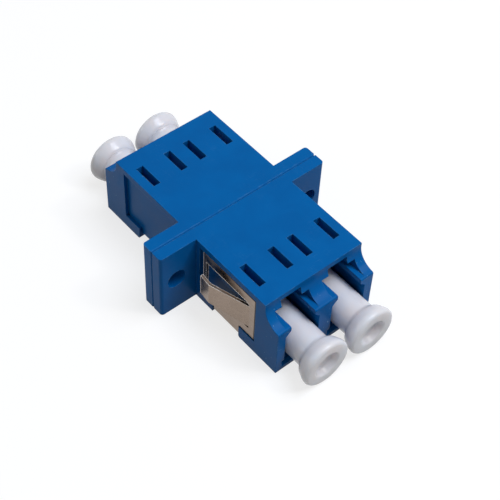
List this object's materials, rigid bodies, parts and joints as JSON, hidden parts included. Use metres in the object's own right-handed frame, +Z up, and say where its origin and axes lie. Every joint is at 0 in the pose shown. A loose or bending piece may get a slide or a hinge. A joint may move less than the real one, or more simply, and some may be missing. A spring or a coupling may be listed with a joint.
{
  "type": "duplex LC fibre-optic adapter",
  "caption": "Rectangular through adapter with a screw flange, latch windows, a folded spring panel clip and push-in dust caps on both sides.",
  "frame": {"origin": "middle of the underside of the housing, in the plane of the weld seam between its two halves", "axes": "+X across the two ports, +Y along the fibres away from the panel clip, +Z up towards the latch windows"},
  "size_m": [0.022, 0.0368, 0.0091],
  "materials": {
    "housing_plastic": "satin moulded blue",
    "spring_steel": "bright rolled sheet",
    "zirconia": "polished white",
    "cap_plastic": "soft white, slightly translucent"
  },
  "bodies": {
    "adapter": {"front_housing": "housing_plastic", "rear_housing": "housing_plastic", "panel_clip": "spring_steel", "sleeve_left": "zirconia", "sleeve_right": "zirconia"},
    "cap_front_left": {"dust_cap_front_left": "cap_plastic"},
    "cap_front_right": {"dust_cap_front_right": "cap_plastic"},
    "cap_rear_left": {"dust_cap_rear_left": "cap_plastic"},
    "cap_rear_right": {"dust_cap_rear_right": "cap_plastic"}
  },
  "joints": [
    {"name": "pull_cap_front_left", "type": "slide", "parent": "adapter", "child": "cap_front_left", "axis": [0, -1, 0], "range_m": [0, 0.012]},
    {"name": "pull_cap_front_right", "type": "slide", "parent": "adapter", "child": "cap_front_right", "axis": [0, -1, 0], "range_m": [0, 0.012]},
    {"name": "pull_cap_rear_left", "type": "slide", "parent": "adapter", "child": "cap_rear_left", "axis": [0, 1, 0], "range_m": [0, 0.012]},
    {"name": "pull_cap_rear_right", "type": "slide", "parent": "adapter", "child": "cap_rear_right", "axis": [0, 1, 0], "range_m": [0, 0.012]}
  ]
}
